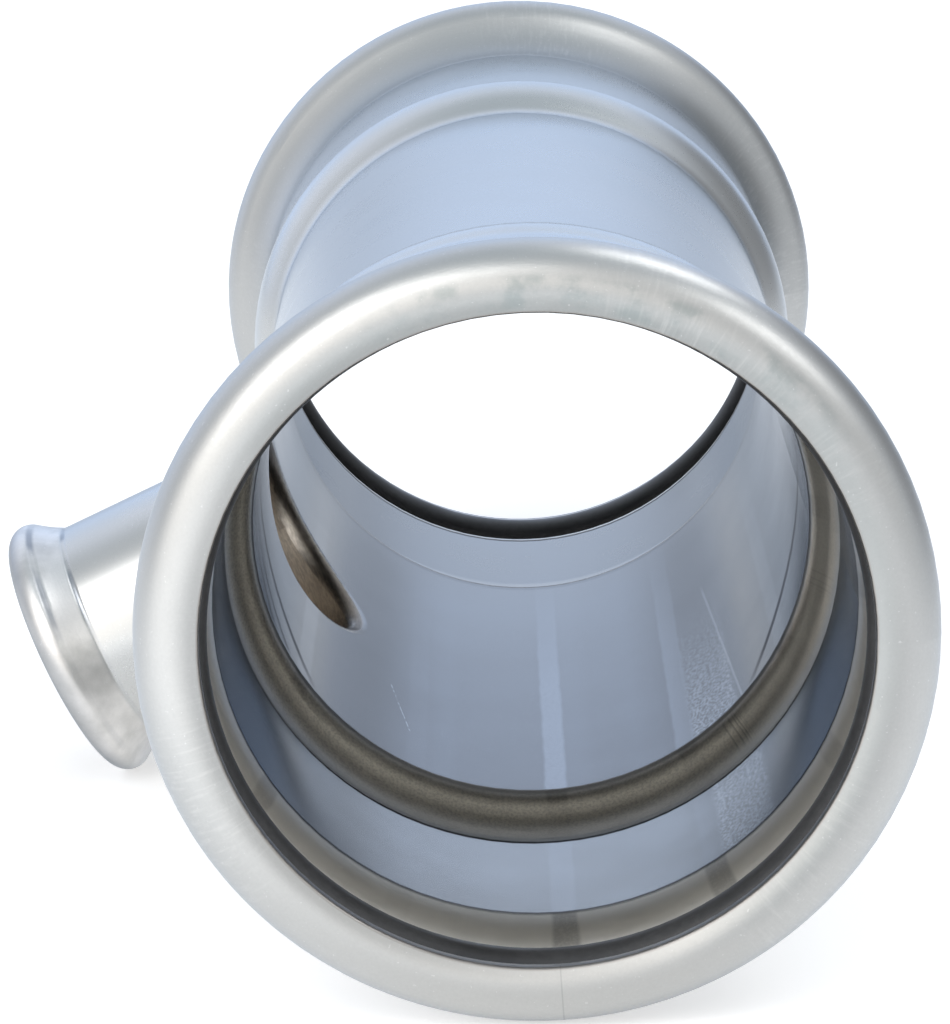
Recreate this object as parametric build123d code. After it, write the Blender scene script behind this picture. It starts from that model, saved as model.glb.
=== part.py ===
from build123d import *
import os
from dataclasses import dataclass
from math import asin, atan2, cos, degrees, hypot, pi, sin, tan

# Reducing press tee in stainless tube, millimetres. The run lies along Y and the branch points to -X.
# The tee lies as it comes to rest: on its two run beads and the branch bead, so the branch also points down.
# The origin is where the run's axis and the branch's axis meet.

# The shoulder's foot is a share of its two arcs' radii. The flank's start is the slope at which it leaves
# the socket, as a share of the slope of a straight flank: below 1 the flank flares toward the bead.

# Run, for 108 mm pipe
run_pipe_r = 54.0
run_wall = 2.3
run_socket_clearance = 0.5
run_stop_step = 4.1
run_stop_at = 73.5
run_shoulder_len = 13.5
run_shoulder_foot = 0.38
run_bulge_height = 0.8
run_bulge_len = 6.0
run_socket_len = 39.5
run_flank_len = 18.5
run_flank_start = 0.15
run_seal_gap = 0.35
run_seal_section_r = 4.8
run_seal_clearance = 0.3
run_lip_gap = 1.4

# Branch, for 42 mm pipe
branch_pipe_r = 21.0
branch_wall = 1.5
branch_socket_clearance = 0.2
branch_stop_step = 1.7
branch_shoulder_len = 5.6
branch_shoulder_foot = 0.5
branch_bulge_height = 0.3
branch_bulge_len = 2.2
branch_socket_len = 22.4
branch_flank_len = 7.1
branch_flank_start = 0.8
branch_seal_gap = 0.05
branch_seal_section_r = 1.9
branch_seal_clearance = 0.2
branch_lip_gap = 0.7

# Collar pulled out of the run's wall, the weld on its end, and the branch's neck from there to its pipe stop
collar_bend_r = 2.2
collar_height = 6.0
weld_width = 2.6
weld_height = 0.35
branch_neck_len = 2.6

# Folds in the sheet: the crease where a socket turns into its bead's flank, and the deburred lip
crease_r = 1.2
lip_round_r = 0.5

# Distance within which an edge counts as lying on a surface
touch = 0.01


def arc(centre, r, start, end):
    """An arc about a centre, from one angle to another."""
    at = [(centre[0] + r * cos(a), centre[1] + r * sin(a)) for a in (start, (start + end) / 2, end)]
    return ThreePointArc(*at)


@dataclass
class End:
    """One press end: a pipe stop, a socket for the pipe, and a bead rolled about the seal ring.

    The stop is a shoulder in the wall, and its foot bulges a little beyond the socket.
    Its outlines are places along the pipe, from the tee's centre, against radius. Skin is the height
    above the sheet's inside face, so skin 0 is the inside face and skin wall is the outside face.
    """

    pipe_r: float
    wall: float
    socket_clearance: float
    stop_step: float
    stop_at: float
    shoulder_len: float
    shoulder_foot: float
    bulge_height: float
    bulge_len: float
    socket_len: float
    flank_len: float
    flank_start: float
    seal_gap: float
    seal_section_r: float
    seal_clearance: float
    lip_gap: float

    def __post_init__(self):
        self.socket_r = self.pipe_r + self.socket_clearance
        self.bore_r = self.socket_r - self.stop_step
        self.outer_r = self.bore_r + self.wall
        self.lip_r = self.pipe_r + self.lip_gap
        self.bulge_at = self.stop_at + self.shoulder_len
        self.socket_at = self.bulge_at + self.bulge_len
        self.socket_end = self.socket_at + self.socket_len
        self.crest_at = self.socket_end + self.flank_len
        # The roll has the seal ring's centre
        self.roll_centre_r = self.pipe_r + self.seal_gap + self.seal_section_r
        self.roll_r = self.seal_section_r + self.seal_clearance
        self.crest_r = self.roll_centre_r + self.roll_r + self.wall
        # A straight flank would touch the roll at this slope, and the crease turns by a share of it
        rise = self.roll_centre_r - self.socket_r
        straight = atan2(rise, self.flank_len) + asin(self.roll_r / hypot(self.flank_len, rise))
        self.crease_turn = self.flank_start * straight
        # From the crease the flank's inside face is one arc that touches the roll
        crease = self.crease(0) @ 1
        out = (-sin(self.crease_turn), cos(self.crease_turn))
        gap = (crease.X - self.crest_at, crease.Y - self.roll_centre_r)
        reach = gap[0] * out[0] + gap[1] * out[1]
        self.flank_r = (gap[0] ** 2 + gap[1] ** 2 - self.roll_r ** 2) / (2 * (self.roll_r - reach))
        self.flank_centre = (crease.X + self.flank_r * out[0], crease.Y + self.flank_r * out[1])
        drop = self.flank_centre[1] - self.roll_centre_r
        self.flank_end = atan2(self.crest_at - self.flank_centre[0], drop)

    def bend(self, low, high, share, skin):
        """Two tangent arcs between the ends of a low and a high wall, parallel on both faces of the sheet.

        The share is the low arc's part of the two radii, on the inside face.
        """
        length = high[0] - low[0]
        step = high[1] - low[1]
        radii = (length ** 2 + step ** 2) / (2 * step)
        turn = asin(length / radii)
        outward = share * radii
        inward = radii - outward
        return [
            arc((low[0], low[1] + outward), outward - skin, -pi / 2, turn - pi / 2),
            arc((high[0], high[1] - inward), inward + skin, pi / 2 + turn, pi / 2),
        ]

    def crease(self, skin):
        """The fold at the socket's end, where the sheet turns outward into the flank."""
        fold = crease_r + self.wall
        centre = (self.socket_end - fold * tan(self.crease_turn / 2), self.socket_r + fold)
        return arc(centre, fold - skin, -pi / 2, self.crease_turn - pi / 2)

    def flank(self, skin):
        """The sheet's flare from the crease to the roll."""
        return arc(self.flank_centre, self.flank_r - skin, self.crease_turn - pi / 2, self.flank_end - pi / 2)

    def roll(self, skin):
        """The bead's roll, from the flank over the crest and the front to the lip."""
        r = self.roll_r + skin
        lip = asin((self.lip_r - self.roll_centre_r) / r)
        return arc((self.crest_at, self.roll_centre_r), r, pi / 2 + self.flank_end, lip)

    def outline(self, skin, weld_at=None):
        """Edges from the tee's centre to the lip, with a low weld across the bore's wall if one is asked."""
        start = (0, self.bore_r + skin)
        edges = []
        if weld_at:
            low = (weld_at - weld_width / 2, start[1])
            top = (weld_at, start[1] + weld_height)
            high = (weld_at + weld_width / 2, start[1])
            edges += [Line(start, low), ThreePointArc(low, top, high)]
            start = high
        stop = (self.stop_at, self.bore_r)
        bulge = (self.bulge_at, self.socket_r + self.bulge_height)
        socket = (self.socket_at, self.socket_r)
        crease = self.crease(skin)
        edges += [Line(start, (self.stop_at, self.bore_r + skin))]
        edges += self.bend(stop, bulge, self.shoulder_foot, skin) + self.bend(socket, bulge, 0.5, skin)
        edges += [Line((self.socket_at, self.socket_r + skin), crease @ 0), crease]
        edges += [self.flank(skin), self.roll(skin)]
        return edges


run_end = End(
    pipe_r=run_pipe_r,
    wall=run_wall,
    socket_clearance=run_socket_clearance,
    stop_step=run_stop_step,
    stop_at=run_stop_at,
    shoulder_len=run_shoulder_len,
    shoulder_foot=run_shoulder_foot,
    bulge_height=run_bulge_height,
    bulge_len=run_bulge_len,
    socket_len=run_socket_len,
    flank_len=run_flank_len,
    flank_start=run_flank_start,
    seal_gap=run_seal_gap,
    seal_section_r=run_seal_section_r,
    seal_clearance=run_seal_clearance,
    lip_gap=run_lip_gap,
)
branch_weld_at = run_end.outer_r + collar_height
branch_end = End(
    pipe_r=branch_pipe_r,
    wall=branch_wall,
    socket_clearance=branch_socket_clearance,
    stop_step=branch_stop_step,
    stop_at=branch_weld_at + branch_neck_len,
    shoulder_len=branch_shoulder_len,
    shoulder_foot=branch_shoulder_foot,
    bulge_height=branch_bulge_height,
    bulge_len=branch_bulge_len,
    socket_len=branch_socket_len,
    flank_len=branch_flank_len,
    flank_start=branch_flank_start,
    seal_gap=branch_seal_gap,
    seal_section_r=branch_seal_section_r,
    seal_clearance=branch_seal_clearance,
    lip_gap=branch_lip_gap,
)

# The branch hangs until its bead touches the surface that the run's beads stand on
rest_drop = run_end.crest_r - branch_end.roll_r - branch_end.wall
roll_reach = hypot(branch_end.crest_at, branch_end.roll_centre_r)
branch_lean = asin(rest_drop / roll_reach) - atan2(branch_end.roll_centre_r, branch_end.crest_at)


def spin(edges):
    """Revolves an outline, closed along the X axis, about that axis."""
    first = edges[0] @ 0
    last = edges[-1] @ 1
    closing = Polyline((last.X, last.Y), (last.X, 0), (first.X, 0), (first.X, first.Y))
    return revolve(make_face(Wire(edges + closing.edges())), Axis.X)


def filled(end, weld_at=None):
    """The space within an end's outside face."""
    return spin(end.outline(end.wall, weld_at))


def hollow(end):
    """The space within an end's inside face, carried out past the lip."""
    edges = end.outline(0)
    mouth = end.crest_at + end.roll_r + 2 * end.wall
    return spin(edges + [Line(edges[-1] @ 1, (mouth, end.lip_r))])


def as_run(half):
    """Lays a half along -Y, with its mirror image along +Y."""
    front = Rot(0, 0, -90) * half
    return front + mirror(front, Plane.XZ)


def as_branch(shape):
    """Turns a shape from +X to the branch's direction."""
    return Rot(0, 180 - degrees(branch_lean), 0) * shape


def saddle(shape, run_r, branch_r):
    """The curve where the branch's cylinder meets the run's."""
    def on_both(p):
        along = -p.X * cos(branch_lean) - p.Z * sin(branch_lean)
        aside = hypot(p.Y, p.X * sin(branch_lean) - p.Z * cos(branch_lean))
        return along > 0 and abs(hypot(p.X, p.Z) - run_r) < touch and abs(aside - branch_r) < touch
    return [edge for edge in shape.edges() if all(on_both(edge @ part) for part in (0.1, 0.35, 0.6, 0.85))]


def tee_body():
    outside = as_run(filled(run_end)) + as_branch(filled(branch_end, branch_weld_at))
    outside = fillet(saddle(outside, run_end.outer_r, branch_end.outer_r), collar_bend_r)
    inside = as_run(hollow(run_end)) + as_branch(hollow(branch_end))
    inside = fillet(saddle(inside, run_end.bore_r, branch_end.bore_r), collar_bend_r + branch_wall)
    body = outside - inside
    circles = body.edges().filter_by(GeomType.CIRCLE)
    lips = [e for e in circles for end in (run_end, branch_end) if abs(e.radius - end.lip_r) < touch]
    return fillet(lips, lip_round_r)


def seal(end):
    """A plain round rubber ring in the bead's groove."""
    return Pos(end.crest_at, 0, 0) * Rot(0, 90, 0) * Torus(end.roll_centre_r, end.seal_section_r)


front_seal = Rot(0, 0, -90) * seal(run_end)
parts = {
    "tee_body": tee_body(),
    "run_seal_front": front_seal,
    "run_seal_rear": mirror(front_seal, Plane.XZ),
    "branch_seal": as_branch(seal(branch_end)),
}

os.makedirs("parts", exist_ok=True)
for name, shape in parts.items():
    export_step(shape, f"parts/{name}.step")
    print(name, round(shape.volume), shape.bounding_box().size)
print("the branch leans", round(degrees(branch_lean), 3), "degrees below level")
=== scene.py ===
"""Reducing press tee in satin stainless steel, with a black rubber seal ring in each bead.

The tee lies on a pale floor. The run's axis is Y, and the branch leans down to -X. Lengths are in metres.
"""
from math import cos, radians, sin

import bpy
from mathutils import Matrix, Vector


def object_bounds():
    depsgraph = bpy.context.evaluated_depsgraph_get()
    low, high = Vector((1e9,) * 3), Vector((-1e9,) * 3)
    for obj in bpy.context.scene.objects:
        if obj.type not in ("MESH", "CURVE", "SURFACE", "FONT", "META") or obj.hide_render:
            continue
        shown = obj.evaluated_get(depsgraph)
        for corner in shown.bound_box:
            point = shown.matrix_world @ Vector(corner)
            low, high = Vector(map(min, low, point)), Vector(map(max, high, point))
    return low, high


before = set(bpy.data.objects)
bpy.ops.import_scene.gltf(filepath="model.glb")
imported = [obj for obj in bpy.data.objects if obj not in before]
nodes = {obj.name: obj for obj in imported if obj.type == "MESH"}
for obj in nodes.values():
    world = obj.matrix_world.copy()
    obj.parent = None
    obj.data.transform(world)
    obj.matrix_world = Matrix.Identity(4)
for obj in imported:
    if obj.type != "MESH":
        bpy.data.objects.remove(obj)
cad_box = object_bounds()
FLOOR_Z = cad_box[0][2]

# Places of the run's sheet: the bore and the lip by radius, and the rest by the distance from its middle
BORE_R = 0.0504
LIP_R = 0.0554
STOP_AT = 0.0735
SOCKET_AT = 0.0930
FLANK_AT = 0.1315
CREST_AT = 0.1510

# The bead's roll, seen in section: its centre's radius, and the radius halfway through its sheet
ROLL_CENTRE_R = 0.05915
ROLL_MIDDLE_R = 0.0065

# The branch: its axis, the way up across it, and its places by radius and by distance from the run's axis
LEAN = radians(25.346)
BRANCH_WAY = (-cos(LEAN), 0.0, -sin(LEAN))
BRANCH_UP = (-sin(LEAN), 0.0, cos(LEAN))
BRANCH_BORE_R = 0.0195
BRANCH_CLEAR_R = 0.0275
BRANCH_CLEAR_AT = 0.0550
BRANCH_BEAD_AT = 0.0910
BRANCH_CREST_AT = 0.0986

# The gaps of the tool that sized the ends, as angle and strength. The first is along the tube's weld seam.
TOOL_MARKS = (
    (-85.2, 1.0),
    (-56.2, 0.85),
    (-146.2, 0.6),
    (-115.4, 0.12),
    (-26.0, 0.4),
    (4.0, 0.4),
    (34.0, 0.4),
)
MARK_HALF = radians(1.75)
MARK_SOFT = radians(1.0)
MARK_WOBBLE = radians(0.9)

# The tables below that hold bands give each one's start, its end, and how far it fades on each side

# By the angle about the run's axis: the frosty stretch of the bore, and the short ticks on the near shoulder
FROST_BAND = (radians(-53), radians(-43), radians(2))
TICK_BANDS = ((radians(-47), radians(-43), radians(1)), (radians(-13), radians(-9), radians(1)))

# The weld seam's thin line on the beads, by the angle from the seam
SEAM_AT = radians(-86.5)
SEAM_BAND = (radians(-0.05), radians(0.05), radians(0.12))

# By the distance from the run's middle: the painted highlight on the near shoulder's crown, and the lines of
# painted shade where the sheet bends
CROWN_HIGHLIGHT_BAND = (0.0785, 0.0815, 0.0045)
STOP_LINE = (0.0742, 0.0748, 0.0012)
SOCKET_LINE = (0.0916, 0.0922, 0.0010)
CREASE_LINE = (0.1318, 0.1323, 0.0008)
FAR_STOP_LINE = (0.0725, 0.0745, 0.0015)
OUTSIDE_STOP_LINE = (0.0734, 0.0737, 0.0003)

# Ring lines of painted reflection on the bore's sides, by a distance that grows this much for each metre
# toward the side. Two of them are on the branch's side alone.
RING_SLIDE = 2.7
BRANCH_SIDE_RINGS = ((0.0558, 0.0568, 0.0010), (0.0626, 0.0636, 0.0010))
BOTH_SIDES_RING = (0.0430, 0.0450, 0.0012)

# The creases round the branch's bead, by the distance from the run's axis
BRANCH_CREASES = ((0.0907, 0.0911, 0.0005), (0.0964, 0.0968, 0.0007))

# Two thin lines in the bore. Each turns by an angle for a metre along the run, and has a turn at the run's
# middle, half a width and a soft edge. The last band is its length along the run.
FAINT_LINE = (radians(57.6), radians(44.65), radians(0.15), radians(0.25))
FAINT_LINE_BAND = (-0.072, 0.010, 0.010)
SCRATCH = (radians(208.3), radians(128.04), radians(0.08), radians(0.15))
SCRATCH_BAND = (-0.053, -0.029, 0.001)

# Colours of the outside
SATIN = (0.60, 0.60, 0.585)
SATIN_CLOUD = (0.52, 0.53, 0.53)
SATIN_HAZE = (0.47, 0.51, 0.52)
BEAD = (0.45, 0.45, 0.44)
BEAD_SHADE_BY_LIP = (0.30, 0.32, 0.32)
BEAD_MOTTLE = (0.29, 0.33, 0.33)
BEAD_STREAK = (0.74, 0.73, 0.71)
LIP = (0.30, 0.27, 0.25)
BRANCH_BEAD = (0.60, 0.59, 0.57)
BRANCH_BEAD_HIGHLIGHT = (0.84, 0.82, 0.80)
BRANCH_BEAD_FRONT_SHADE = (0.30, 0.31, 0.32)
CREASE_SHADE_DASH = (0.14, 0.17, 0.22)
OUTSIDE_SEAM_AND_SHADE_LINE = (0.20, 0.20, 0.21)

# Colours of the inside
WALL = (0.385, 0.38, 0.375)
WALL_HAZE = (0.345, 0.34, 0.335)
WALL_REFLECTION_BANDS = (0.42, 0.425, 0.43)
WALL_FAR_LIGHT = (0.58, 0.575, 0.56)
WALL_SOCKET = (0.51, 0.505, 0.49)
WALL_MARK = (0.68, 0.70, 0.73)
FROST = (0.82, 0.83, 0.84)
SCRATCHED = (0.90, 0.90, 0.90)
SHOULDER = (0.50, 0.485, 0.455)
SHOULDER_CROWN_HIGHLIGHT = (0.82, 0.79, 0.71)
SHOULDER_GRAIN = (0.34, 0.33, 0.31)
SHOULDER_TICK = (0.26, 0.25, 0.23)
SHOULDER_RIGHT_LIGHT = (0.96, 0.94, 0.88)
SHOULDER_MARK = (0.30, 0.29, 0.27)
FLANK = (0.86, 0.84, 0.78)
FLANK_TOP_HIGHLIGHT = (0.94, 0.92, 0.88)
FLANK_MARK = (0.42, 0.41, 0.39)
BRONZE = (0.60, 0.54, 0.47)
BRONZE_HIGHLIGHT_STREAK = (0.84, 0.76, 0.66)
RIM_SHADE = (0.25, 0.24, 0.23)
INSIDE_SHADE_AND_REFLECTION_LINE = (0.16, 0.15, 0.14)

# Colours of both
GRAIN = (0.20, 0.20, 0.20)
SPECK = (0.78, 0.78, 0.78)

# Tints of the gloss at a grazing view
GLOSS = (0.88, 0.93, 1.0)
GLOSS_WALL = (0.53, 0.55, 0.58)
GLOSS_WALL_SIDES_SHADE = (0.35, 0.39, 0.45)
GLOSS_SHADE_AND_REFLECTION_LINE = (0.03, 0.03, 0.04)
GLOSS_RIM_SHADE = (0.20, 0.21, 0.23)
GLOSS_BRANCH_FRONT_SHADE = (0.45, 0.48, 0.53)

# How rough the steel is
ROUGH_OUTSIDE = 0.24
ROUGH_BEAD = 0.33
ROUGH_BORE = 0.16
ROUGH_BORE_FAR = 0.24
ROUGH_FOLD = 0.36
ROUGH_BRANCH_INSIDE = 0.30

# Colours of the seals
RUBBER = (0.022, 0.023, 0.025)
RUBBER_DUST = (0.085, 0.085, 0.088)

# The studio's colour from its front, where the camera is, to its back
SKY_STOPS = (
    (0.0, (0.84, 0.85, 0.86)),
    (0.25, (0.82, 0.83, 0.84)),
    (0.5, (0.68, 0.72, 0.77)),
    (0.75, (1.06, 1.13, 1.28)),
    (1.0, (0.94, 1.10, 1.38)),
)
SKY_OVERHEAD = (0.62, 0.70, 0.77)
SKY_LOW_BEHIND = (0.58, 0.64, 0.74)

# The studio's glow on the camera's left and its shade behind on the right, as way and colour
GLOW_WAY = (-0.52, -0.85, 0.10)
GLOW = (2.0, 1.95, 1.90)
SHADE_WAY = (0.81, 0.526, 0.259)
SHADE = (0.34, 0.35, 0.37)

# The floor: its paper, the painted shadow before the near bead, and the painted pool of light on the camera's
# left
PAPER = (0.74, 0.74, 0.74)
PAPER_SHADOW = (0.60, 0.60, 0.60)
SHADOW_PLACE = (0.06, -0.33, 0.0)
POOL_PLACE = (-0.26, -0.50, 0.0)
POOL_LEVEL = 2.7
WHITE_LEVEL = 0.46

# Soft lamps, as name, place, aim, size and power
LAMPS = (
    ("left", (-0.72, -0.84, 0.78), (0.0, -0.10, 0.0), (0.45, 0.80), 3.8),
    ("high", (-0.24, -0.95, 0.95), (0.0, -0.10, 0.0), (0.45, 0.35), 1.1),
    ("right", (0.29, -0.30, 0.29), (0.03, -0.15, 0.03), (0.16, 0.16), 0.20),
    ("over", (0.16, -0.02, 0.37), (0.0, 0.0, 0.0), (0.16, 0.16), 0.22),
)

# Which sockets of a Mix node take the factor and the two values, and which one gives the result
MIX_SOCKETS = {"FLOAT": ((0, 2, 3), 0), "VECTOR": ((0, 4, 5), 1), "RGBA": ((0, 6, 7), 2)}


class Net:
    """Short calls for building a node tree. Colours are given without their alpha."""

    def __init__(self, tree):
        self.tree = tree
        tree.nodes.clear()

    def put(self, value, socket):
        """Links a socket, or sets a value."""
        if isinstance(value, bpy.types.NodeSocket):
            self.tree.links.new(value, socket)
        elif socket.type == "RGBA":
            socket.default_value = (*value, 1.0)
        else:
            socket.default_value = value

    def node(self, kind, inputs=None, **settings):
        made = self.tree.nodes.new("ShaderNode" + kind)
        for name, value in settings.items():
            setattr(made, name, value)
        for key, value in (inputs or {}).items():
            self.put(value, made.inputs[key])
        return made

    def math(self, operation, *values):
        made = self.node("Math", operation=operation)
        for value, socket in zip(values, made.inputs):
            self.put(value, socket)
        return made.outputs[0]

    def times(self, first, *others):
        """The product of some values."""
        for other in others:
            first = self.math("MULTIPLY", first, other)
        return first

    def most(self, first, *others):
        """The highest of some values."""
        for other in others:
            first = self.math("MAXIMUM", first, other)
        return first

    def vector(self, operation, *values):
        made = self.node("VectorMath", operation=operation)
        for value, socket in zip(values, made.inputs):
            self.put(value, socket)
        return made.outputs[1 if operation in ("DOT_PRODUCT", "LENGTH", "DISTANCE") else 0]

    def split(self, vector):
        return self.node("SeparateXYZ", {0: vector}).outputs

    def join(self, x, y, z):
        return self.node("CombineXYZ", {0: x, 1: y, 2: z}).outputs[0]

    def step(self, value, start, end, low=0.0, high=1.0):
        """Low before start and high after end, and smooth between them."""
        inputs = {"Value": value, "From Min": start, "From Max": end, "To Min": low, "To Max": high}
        return self.node("MapRange", inputs, interpolation_type="SMOOTHSTEP").outputs[0]

    def band(self, value, start, end, soft):
        """One between start and end, fading to nought over soft on each side."""
        return self.times(self.step(value, start - soft, start), self.step(value, end, end + soft, 1.0, 0.0))

    def bands(self, value, places):
        """Several bands at once."""
        return self.most(*(self.band(value, *place) for place in places))

    def noise(self, vector, scale, detail=2.0, rough=0.5):
        inputs = {"Vector": vector, "Scale": scale, "Detail": detail, "Roughness": rough}
        return self.node("TexNoise", inputs).outputs[0]

    def between(self, kind, *values):
        """A factor's blend of two values of a kind."""
        places, result = MIX_SOCKETS[kind]
        made = self.node("Mix", data_type=kind)
        for value, place in zip(values, places):
            self.put(value, made.inputs[place])
        return made.outputs[result]

    def blend(self, factor, first, second):
        return self.between("FLOAT", factor, first, second)

    def pick(self, factor, first, second):
        return self.between("VECTOR", factor, first, second)

    def mix(self, factor, first, second):
        return self.between("RGBA", factor, first, second)

    def wash(self, colour, over, *masks):
        """A colour with another one laid over it, as strong as the product of some masks."""
        return self.mix(self.times(*masks), colour, over)

    def ramp(self, value, stops):
        made = self.node("ValToRGB", {0: value})
        ramp = made.color_ramp
        ramp.interpolation = "EASE"
        while len(ramp.elements) < len(stops):
            ramp.elements.new(0.5)
        for element, (place, colour) in zip(ramp.elements, stops):
            element.position = place
            element.color = (*colour, 1.0)
        return made.outputs[0]


class Surface:
    """A point of the steel as sockets: where it is, which stretch of the sheet it is on, and its noises."""

    def __init__(self, net):
        self.net = net
        self.place = net.node("TexCoord").outputs["Object"]
        self.normal = net.node("NewGeometry").outputs["Normal"]
        self.x, self.y, self.z = net.split(self.place)
        self.aside = net.math("ABSOLUTE", self.x)
        self.reach = net.math("ABSOLUTE", self.y)
        self.measure()
        self.find_sheet()
        self.find_branch_inside()
        self.add_noises()

    def measure(self):
        """Distance and turn about the run's axis and the branch's, and the way out from each."""
        net = self.net
        from_axis = net.join(self.x, 0.0, self.z)
        self.run_r = net.vector("LENGTH", from_axis)
        self.run_turn = net.math("ARCTAN2", self.z, self.x)
        self.run_out = net.vector("NORMALIZE", from_axis)
        self.along = net.vector("DOT_PRODUCT", self.place, BRANCH_WAY)
        up = net.vector("DOT_PRODUCT", self.place, BRANCH_UP)
        self.branch_r = net.vector("LENGTH", net.join(up, self.y, 0.0))
        self.branch_turn = net.math("ARCTAN2", up, self.y)
        on_axis = net.vector("PROJECT", self.place, BRANCH_WAY)
        self.branch_out = net.vector("NORMALIZE", net.vector("SUBTRACT", self.place, on_axis))

    def find_sheet(self):
        """The run's two faces, the stretches of its inside, the beads, and the front of the branch's bead,
        where shade is painted.
        """
        net = self.net
        near_branch = net.step(self.branch_r, BRANCH_CLEAR_R, BRANCH_CLEAR_R + 0.001, 1.0, 0.0)
        self.branch = net.times(near_branch, net.step(self.along, BRANCH_CLEAR_AT, BRANCH_CLEAR_AT + 0.003))
        on_run = net.math("SUBTRACT", 1.0, self.branch)

        # Past the crest the sheet is rolled in, so there its inside is the side of the roll's centre
        self.facing = net.vector("DOT_PRODUCT", self.normal, self.run_out)
        turned_in = net.step(self.facing, -0.05, 0.05, 1.0, 0.0)
        past_crest = net.math("SUBTRACT", self.reach, CREST_AT)
        from_roll = net.join(past_crest, net.math("SUBTRACT", self.run_r, ROLL_CENTRE_R), 0.0)
        roll_r = net.vector("LENGTH", from_roll)
        in_roll = net.step(roll_r, ROLL_MIDDLE_R - 0.0001, ROLL_MIDDLE_R + 0.0001, 1.0, 0.0)
        inside = net.blend(net.step(self.reach, CREST_AT - 0.0002, CREST_AT), turned_in, in_roll)
        self.inner = net.times(inside, on_run)
        self.outer = net.math("SUBTRACT", on_run, self.inner)

        self.near_end = net.step(self.y, -0.001, 0.001, 1.0, 0.0)
        before_socket = net.band(self.reach, STOP_AT + 0.001, SOCKET_AT - 0.002, 0.0015)
        self.shoulder = net.times(before_socket, self.near_end)
        self.flank = net.step(self.reach, FLANK_AT, FLANK_AT + 0.001)
        self.run_bead = net.step(self.reach, FLANK_AT + 0.0005, FLANK_AT + 0.0025)
        past_socket = net.step(self.along, BRANCH_BEAD_AT, BRANCH_BEAD_AT + 0.001)
        self.branch_bead = net.times(self.branch, past_socket)
        self.bead = net.most(self.run_bead, self.branch_bead)
        by_crest = net.step(self.along, BRANCH_CREST_AT - 0.0011, BRANCH_CREST_AT + 0.0024, 0.0, 0.6)
        self.branch_front_shade = net.times(self.branch_bead, by_crest)

    def find_branch_inside(self):
        """The branch's inside, and the round rim of its mouth in the run's wall, where shade is painted."""
        net = self.net
        outward = net.most(self.facing, net.vector("DOT_PRODUCT", self.normal, self.branch_out))
        turned_in = net.step(outward, 0.05, 0.15, 1.0, 0.0)
        within = net.step(self.branch_r, BRANCH_BORE_R + 0.0035, BRANCH_BORE_R + 0.0057, 1.0, 0.0)
        beyond_bore = net.step(self.run_r, BORE_R, BORE_R + 0.0004)
        self.hole = net.times(within, beyond_bore, turned_in, net.band(self.along, 0.045, 0.090, 0.005))
        bent = net.step(self.branch_r, BRANCH_BORE_R + 0.00005, BRANCH_BORE_R + 0.0004)
        before_stop = net.step(self.along, BRANCH_CLEAR_AT, BRANCH_CLEAR_AT + 0.002, 1.0, 0.0)
        self.rim = net.times(bent, before_stop, self.hole)

    def add_noises(self):
        """Fine lines round the axis of the run or the branch, and grain, clouds, haze and specks."""
        net = self.net
        round_run = net.join(net.times(self.run_turn, 0.02), self.y, self.run_r)
        round_branch = net.join(net.times(self.branch_turn, 0.005), self.along, self.branch_r)
        round_axis = net.pick(net.most(self.branch, self.hole), round_run, round_branch)
        self.lines = net.noise(round_axis, 2600.0, 3.0, 0.6)
        self.grain = net.noise(self.place, 1900.0, 2.0, 0.6)
        self.cloud = net.noise(self.place, 45.0, 3.0, 0.6)
        self.haze = net.noise(self.place, 14.0, 2.0, 0.5)
        self.specks = net.noise(self.place, 1700.0, 1.0)


def tool_marks(net, at):
    """The marks of the sizing tool along the inside. They fade along the bore."""
    wobble = net.times(net.math("SUBTRACT", net.noise(at.place, 120.0), 0.5), MARK_WOBBLE)
    marks = 0.0
    for angle, strength in TOOL_MARKS:
        away = net.math("ADD", net.math("SUBTRACT", at.run_turn, radians(angle)), wobble)
        mark = net.times(net.band(away, -MARK_HALF, MARK_HALF, MARK_SOFT), strength)
        marks = net.math("ADD", marks, mark)
    fading = net.step(at.y, -0.020, 0.085, 1.0, 0.1)
    return net.times(marks, at.inner, fading, net.step(at.grain, 0.25, 0.60, 0.70, 1.0))


def slanting(net, at, slope, turn, half, soft):
    """A thin line that turns about the run's axis as it goes along the bore."""
    away = net.math("ADD", at.run_turn, net.math("MULTIPLY_ADD", at.y, slope, turn))
    return net.band(away, -half, half, soft)


def bore_scratches(net, at):
    """A faint line at the frosty stretch, and a broken scratch."""
    line = net.times(slanting(net, at, *FAINT_LINE), net.band(at.y, *FAINT_LINE_BAND), 0.6)
    broken = net.step(net.noise(at.place, 700.0), 0.45, 0.55)
    scratch = net.times(slanting(net, at, *SCRATCH), net.band(at.y, *SCRATCH_BAND), broken)
    return net.times(net.most(line, scratch), at.inner)


def bend_lines(net, at):
    """Painted shade in dark lines inside where the near end's sheet bends, painted reflections in rings at
    the bore's sides, and a faint far line of painted shade.
    """
    start = net.math("SUBTRACT", at.reach, BORE_R * RING_SLIDE)
    slide = net.math("MULTIPLY_ADD", at.aside, RING_SLIDE, start)
    rings = net.times(net.bands(slide, BRANCH_SIDE_RINGS), net.step(at.x, -0.001, 0.001, 0.8, 0.0))
    rings = net.most(rings, net.band(slide, *BOTH_SIDES_RING))
    in_bore = net.step(at.reach, STOP_AT - 0.0020, STOP_AT - 0.0005, 1.0, 0.0)
    rings = net.times(rings, net.step(at.aside, 0.038, 0.044, 0.0, 0.7), in_bore)
    near = net.times(net.most(net.bands(at.reach, (STOP_LINE, SOCKET_LINE)), rings), at.near_end)
    far = net.times(net.band(at.y, *FAR_STOP_LINE), 0.12)
    return net.times(net.most(near, far, net.band(at.reach, *CREASE_LINE)), at.inner)


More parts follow.
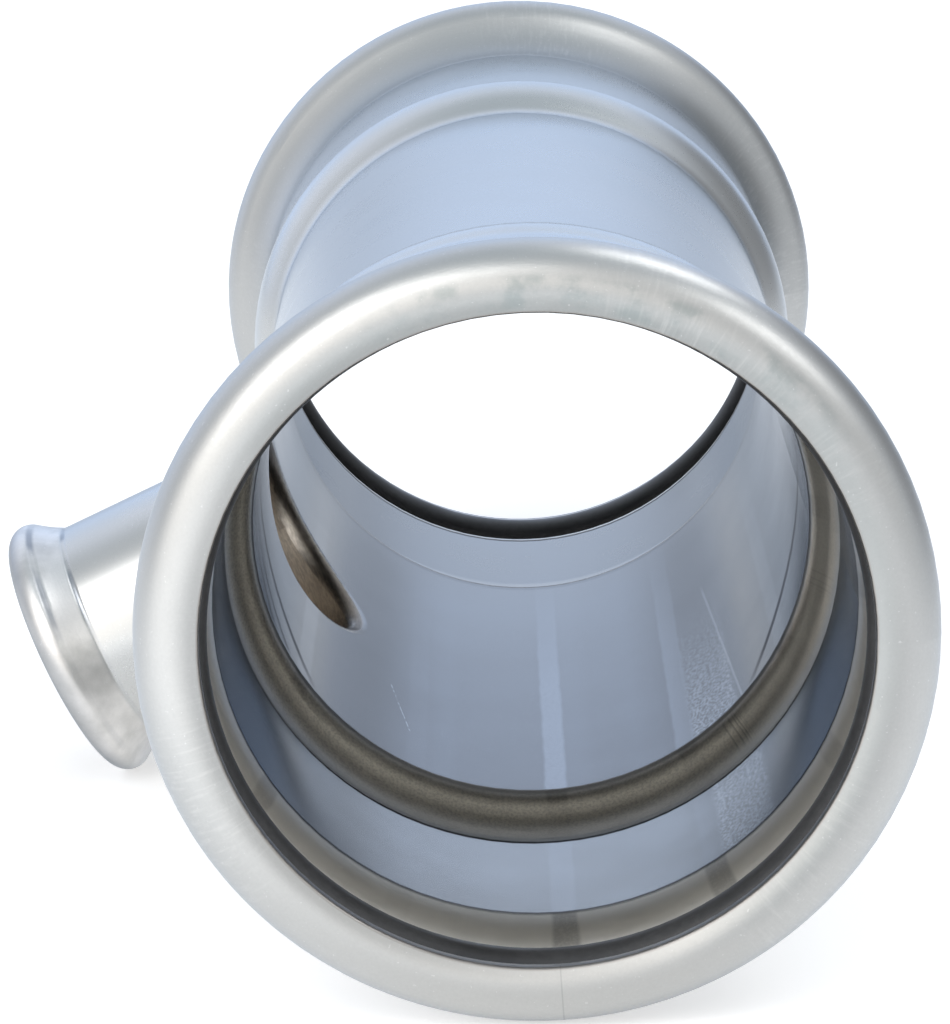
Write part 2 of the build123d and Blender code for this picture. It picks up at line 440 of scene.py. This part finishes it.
def seam_and_shade_lines(net, at):
    """The weld seam on the beads, and a line of painted shade where the run's outside turns into the
    shoulder.
    """
    seam = net.band(net.math("SUBTRACT", at.run_turn, SEAM_AT), *SEAM_BAND)
    stop = net.band(at.reach, *OUTSIDE_STOP_LINE)
    return net.times(net.most(net.times(seam, at.run_bead), stop), at.outer)


def branch_creases(net, at):
    """The two creases round the branch's bead, deepest on its upper near side."""
    upper = net.band(at.branch_turn, radians(105), radians(150), radians(25))
    depth = net.math("MULTIPLY_ADD", upper, 0.8, 0.2)
    return net.times(net.bands(at.along, BRANCH_CREASES), at.branch, depth)


def bead_streaks(net, at):
    """Short streaks across the run's beads, in patches."""
    across = net.times(net.math("ADD", at.run_r, at.y), 0.12)
    crossing = net.join(net.times(at.run_turn, 0.06), across, 0.0)
    streaks = net.step(net.noise(crossing, 1300.0, 2.0, 0.6), 0.45, 0.80)
    return net.times(streaks, net.step(net.noise(at.place, 22.0, 1.0), 0.50, 0.75), at.run_bead)


def bead_mottle(net, at):
    """Grey mottling on the upper front of the run's beads."""
    mottle = net.step(net.noise(at.place, 140.0, 5.0, 0.6), 0.42, 0.62)
    mottle = net.times(mottle, net.step(at.z, 0.025, 0.050), net.band(at.run_r, 0.0570, 0.0610, 0.0015))
    mottle = net.times(mottle, net.step(at.reach, CREST_AT, CREST_AT + 0.002), net.step(at.x, -0.035, -0.010))
    return net.times(mottle, at.run_bead)


def outside_colour(net, at):
    """Satin steel with clouds and haze. Painted shade darkens the beads by the lip, and the branch's bead has
    bright patches of painted highlight and painted shade on its front.
    """
    colour = net.mix(net.times(at.cloud, 0.5), SATIN, SATIN_CLOUD)
    colour = net.wash(colour, SATIN_HAZE, net.step(at.haze, 0.45, 0.75, 0.0, 0.35))
    colour = net.wash(colour, BEAD, at.run_bead, 0.5)
    # Painted shade: the beads darken toward the lip, most on their upper and right sides
    lip_shade = net.times(net.step(at.run_r, 0.0572, 0.0612, 1.0, 0.0), at.run_bead)
    colour = net.wash(colour, BEAD_SHADE_BY_LIP, lip_shade, net.step(net.most(at.x, at.z), 0.020, 0.045, 0.05, 0.6))
    colour = net.wash(colour, BEAD_MOTTLE, bead_mottle(net, at), 0.6)
    # Painted highlight: bright patches on the branch's bead, strongest on its flank and crest
    patches = net.step(net.noise(at.place, 85.0, 3.0, 0.6), 0.35, 0.65)
    bright = net.mix(patches, BRANCH_BEAD, BRANCH_BEAD_HIGHLIGHT)
    colour = net.wash(colour, bright, at.branch_bead, net.step(at.along, 0.100, 0.104, 0.8, 0.2))
    # Painted shade on the front of the branch's bead
    return net.wash(colour, BRANCH_BEAD_FRONT_SHADE, at.branch_front_shade)


def wall_colour(net, at):
    """The run's inside wall, paler in bands of painted reflection along it, paler toward the far end as
    painted light, and paler in the near socket.
    """
    colour = net.mix(at.haze, WALL, WALL_HAZE)
    # Painted reflection: pale bands along the bore
    bands = net.noise(net.join(at.x, 0.0, at.z), 90.0, 1.0)
    colour = net.wash(colour, WALL_REFLECTION_BANDS, net.step(bands, 0.45, 0.75, 0.0, 0.3))
    # Painted light: the wall grows paler toward the far opening
    colour = net.wash(colour, WALL_FAR_LIGHT, net.step(at.y, -0.075, 0.150))
    return net.wash(colour, WALL_SOCKET, net.step(at.y, -SOCKET_AT - 0.001, -SOCKET_AT + 0.003, 1.0, 0.0))


def shoulder_colour(net, at, marks):
    """The near shoulder, dull and brown with a painted highlight on its crown, a painted lighter right side,
    short ticks, and smudges of the tool's marks.
    """
    # Painted highlight on the shoulder's crown
    crown = net.band(at.reach, *CROWN_HIGHLIGHT_BAND)
    colour = net.mix(crown, SHOULDER, SHOULDER_CROWN_HIGHLIGHT)
    colour = net.wash(colour, SHOULDER_GRAIN, net.step(at.grain, 0.35, 0.70, 0.0, 0.40))
    strokes = net.step(net.noise(net.join(at.run_turn, 0.0, 0.0), 110.0, 0.0), 0.52, 0.60)
    colour = net.wash(colour, SHOULDER_TICK, net.bands(at.run_turn, TICK_BANDS), strokes, crown, 0.5)
    # Painted light: the shoulder's right side is paler
    colour = net.wash(colour, SHOULDER_RIGHT_LIGHT, net.step(at.x, 0.030, 0.052, 0.0, 0.7))
    return net.wash(colour, SHOULDER_MARK, marks, net.step(at.reach, 0.076, 0.079, 0.60, 0.15))


def flank_colour(net, at, marks):
    """The flare toward each bead, paler as it rises with a painted highlight, with the tool's marks on it."""
    # Painted highlight: paler as the flare rises toward the bead
    colour = net.mix(net.step(at.reach, FLANK_AT, CREST_AT - 0.005), FLANK, FLANK_TOP_HIGHLIGHT)
    return net.wash(colour, FLANK_MARK, marks, 0.7)


def steel_colour(net, at, shade_and_reflection_lines, creases):
    """All of the steel's colour."""
    marks = tool_marks(net, at)
    colour = net.mix(at.inner, outside_colour(net, at), wall_colour(net, at))
    colour = net.wash(colour, GRAIN, at.grain, net.blend(at.inner, 0.14, 0.08))
    colour = net.wash(colour, WALL_MARK, marks, net.step(at.reach, STOP_AT, SOCKET_AT, 0.42, 0.16))
    frosty = net.times(net.band(at.run_turn, *FROST_BAND), at.inner, net.step(at.y, -0.074, 0.025, 1.0, 0.0))
    colour = net.wash(colour, FROST, frosty, net.step(at.specks, 0.46, 0.56, 0.10, 1.0), 0.65)
    colour = net.wash(colour, SCRATCHED, bore_scratches(net, at), 0.50)

    colour = net.wash(colour, shoulder_colour(net, at, marks), at.shoulder, at.inner)
    colour = net.wash(colour, flank_colour(net, at, marks), at.flank, at.inner)
    # Brown tint in the branch's hole, with painted highlight streaks along its collar
    colour = net.wash(colour, net.mix(net.step(at.lines, 0.30, 0.70), BRONZE, BRONZE_HIGHLIGHT_STREAK), at.hole)
    # Painted shade on the rim of the branch's mouth
    colour = net.wash(colour, RIM_SHADE, at.rim, 0.4)

    # Painted shade in the dark lines where the sheet bends, and painted reflections in the rings on the
    # bore's sides
    colour = net.wash(colour, INSIDE_SHADE_AND_REFLECTION_LINE, shade_and_reflection_lines, 0.65)
    # The weld seam, and a line of painted shade at the outside's bend into the shoulder
    colour = net.wash(colour, OUTSIDE_SEAM_AND_SHADE_LINE, seam_and_shade_lines(net, at), 0.30)
    # Painted shade: dark dashes in the branch's creases
    colour = net.wash(colour, CREASE_SHADE_DASH, creases, net.step(net.noise(at.place, 90.0), 0.42, 0.62), 0.6)
    colour = net.wash(colour, BEAD_STREAK, bead_streaks(net, at), 0.25)
    colour = net.wash(colour, SPECK, net.step(at.specks, 0.70, 0.80), 0.30)
    lip = net.step(at.run_r, LIP_R + 0.0002, LIP_R + 0.0006, 1.0, 0.0)
    return net.wash(colour, LIP, lip, net.step(at.reach, CREST_AT + 0.0025, CREST_AT + 0.0035), 0.6)


def stainless():
    """Drawn stainless tube with a satin skin, turned beads, and browned folds inside."""
    made, net = material("stainless")
    at = Surface(net)
    shade_and_reflection_lines = bend_lines(net, at)
    creases = branch_creases(net, at)
    colour = steel_colour(net, at, shade_and_reflection_lines, creases)

    folded = net.most(net.times(at.inner, net.most(at.shoulder, at.flank)), at.hole)
    outside = net.blend(at.bead, ROUGH_OUTSIDE, ROUGH_BEAD)
    bore = net.step(at.y, 0.050, 0.085, ROUGH_BORE, ROUGH_BORE_FAR)
    folds = net.blend(at.hole, ROUGH_FOLD, ROUGH_BRANCH_INSIDE)
    rough = net.blend(folded, net.blend(at.inner, outside, bore), folds)
    uneven = net.times(net.math("SUBTRACT", at.cloud, 0.5), 0.12)
    uneven = net.math("MULTIPLY_ADD", at.grain, net.blend(at.inner, 0.10, 0.04), uneven)
    rough = net.math("ADD", rough, uneven)

    # Relief of the turned lines on the beads, and of the branch's creases
    fine = {"Strength": 0.10, "Distance": 0.0002, "Height": net.times(at.lines, at.bead)}
    bump = net.node("Bump", fine).outputs[0]
    deep = {"Strength": 1.0, "Distance": 0.0002, "Height": net.times(creases, -0.6), "Normal": bump}
    bump = net.node("Bump", deep).outputs[0]

    # Painted shade: a duller gloss on the bore's sides
    wall_gloss = net.mix(net.step(at.aside, 0.038, 0.048), GLOSS_WALL, GLOSS_WALL_SIDES_SHADE)
    gloss = net.mix(net.math("SUBTRACT", at.inner, folded), GLOSS, wall_gloss)
    # The same painted shade and reflections dull the gloss in these lines
    gloss = net.wash(gloss, GLOSS_SHADE_AND_REFLECTION_LINE, shade_and_reflection_lines, 0.75)
    # Painted shade: a duller gloss on the rim of the branch's mouth
    gloss = net.wash(gloss, GLOSS_RIM_SHADE, at.rim, 0.85)
    # Painted shade: a duller gloss on the front of the branch's bead
    gloss = net.wash(gloss, GLOSS_BRANCH_FRONT_SHADE, at.branch_front_shade)

    values = {
        "Base Color": colour,
        "Metallic": 1.0,
        "Roughness": rough,
        "Specular Tint": gloss,
        "Normal": bump,
    }
    shader = net.node("BsdfPrincipled", values)
    net.node("OutputMaterial", {0: shader.outputs[0]})
    return made


def rubber():
    """Black seal rubber, a little dusty with the talc it is packed in."""
    made, net = material("seal_rubber")
    place = net.node("TexCoord").outputs["Object"]
    dust = net.noise(place, 900.0, 4.0, 0.6)
    patch = net.noise(place, 60.0, 2.0, 0.5)
    colour = net.mix(net.times(dust, patch), RUBBER, RUBBER_DUST)
    rough = net.step(patch, 0.3, 0.7, 0.36, 0.52)
    bump = net.node("Bump", {"Strength": 0.15, "Distance": 0.0001, "Height": dust})
    shader = net.node("BsdfPrincipled", {"Base Color": colour, "Roughness": rough, "Normal": bump.outputs[0]})
    net.node("OutputMaterial", {0: shader.outputs[0]})
    return made


def material(name):
    made = bpy.data.materials.new(name)
    made.use_nodes = True
    return made, Net(made.node_tree)


def dress(name, made):
    """Gives a CAD node one material."""
    mesh = nodes[name].data
    mesh.materials.clear()
    mesh.materials.append(made)


def white_to_eye(net):
    """One for the rays that see the background: from the camera, and through or off glass and metal."""
    path = net.node("LightPath").outputs
    return net.most(path["Is Camera Ray"], path["Is Glossy Ray"], path["Is Transmission Ray"])


def floor():
    """A pale floor that looks white and keeps the shadow, with a painted shadow before the tee. Out of view
    it dims with painted shade, but for a painted pool of light.
    """
    bpy.ops.mesh.primitive_plane_add(size=30.0, location=(0.0, 0.0, FLOOR_Z - 0.0002))
    plane = bpy.context.object
    plane.name = "floor"
    made, net = material("floor")
    place = net.node("TexCoord").outputs["Object"]
    x, y, _ = net.split(place)
    # Painted shadow on the floor before the near bead, and a painted pool of light on the camera's left
    shadow_patch = net.step(net.vector("DISTANCE", place, SHADOW_PLACE), 0.04, 0.20, 1.0, 0.0)
    pool = net.step(net.vector("DISTANCE", place, POOL_PLACE), 0.10, 0.45, 1.0, 0.0)
    # Painted shade on the floor to the right and far behind
    right = net.step(x, 0.25, 0.45, 1.0, 0.4)
    behind = net.step(y, 1.35, 1.60, 1.0, 0.2)
    level = net.times(net.blend(shadow_patch, 1.0, 0.65), right, behind)
    level = net.times(net.blend(pool, level, POOL_LEVEL), WHITE_LEVEL)
    paper = net.node("BsdfDiffuse", {"Color": net.mix(shadow_patch, PAPER, PAPER_SHADOW)})
    glow = net.node("Emission", {"Color": (1.0, 1.0, 1.0), "Strength": net.times(white_to_eye(net), level)})
    both = net.node("AddShader", {0: paper.outputs[0], 1: glow.outputs[0]})
    net.node("OutputMaterial", {0: both.outputs[0]})
    plane.data.materials.append(made)


def sky():
    """The pale studio: cooler behind, dimmer overhead and low behind, with a glow and a shade."""
    world = bpy.data.worlds.new("studio")
    bpy.context.scene.world = world
    world.use_nodes = True
    net = Net(world.node_tree)
    way = net.node("TexCoord").outputs["Generated"]
    x, y, z = net.split(way)
    back = net.math("MULTIPLY_ADD", y, 0.5, 0.5)
    level = net.ramp(back, SKY_STOPS)
    level = net.wash(level, SKY_OVERHEAD, net.step(z, 0.7, 1.0, 0.0, 0.9))
    middle = net.step(net.math("ABSOLUTE", x), 0.20, 0.40, 1.0, 0.0)
    low = net.step(z, 0.10, 0.20, 1.0, 0.0)
    level = net.wash(level, SKY_LOW_BEHIND, middle, low, net.step(back, 0.85, 0.96))
    level = net.wash(level, GLOW, net.step(net.vector("DOT_PRODUCT", way, GLOW_WAY), 0.62, 1.0))
    level = net.wash(level, SHADE, net.step(net.vector("DOT_PRODUCT", way, SHADE_WAY), 0.80, 0.97))
    background = net.node("Background", {"Color": level, "Strength": 1.0})
    net.node("OutputWorld", {0: background.outputs[0]})


def softbox(name, place, aim, size, power):
    """A large soft lamp of that power, aimed at a point."""
    lamp = bpy.data.lights.new(name, "AREA")
    lamp.shape = "RECTANGLE"
    lamp.size, lamp.size_y = size
    lamp.energy = power
    made = bpy.data.objects.new(name, lamp)
    made.location = place
    made.rotation_euler = (Vector(aim) - Vector(place)).to_track_quat("-Z", "Y").to_euler()
    bpy.context.collection.objects.link(made)


def camera():
    """The photograph's own view."""
    lens = bpy.data.cameras.new("camera")
    lens.sensor_fit = "HORIZONTAL"
    lens.sensor_width = 36.0
    lens.lens = 171.35
    lens.clip_start = 0.01
    made = bpy.data.objects.new("camera", lens)
    made.location = (-0.00840, -0.86934, 0.19556)
    made.rotation_euler = (1.332580, 0.011080, -0.000535)
    bpy.context.collection.objects.link(made)
    bpy.context.scene.camera = made


dress("tee_body", stainless())
black = rubber()
for ring in ("run_seal_front", "run_seal_rear", "branch_seal"):
    dress(ring, black)
floor()
sky()
for lamp in LAMPS:
    softbox(*lamp)
camera()
bpy.context.scene.view_settings.view_transform = "Standard"
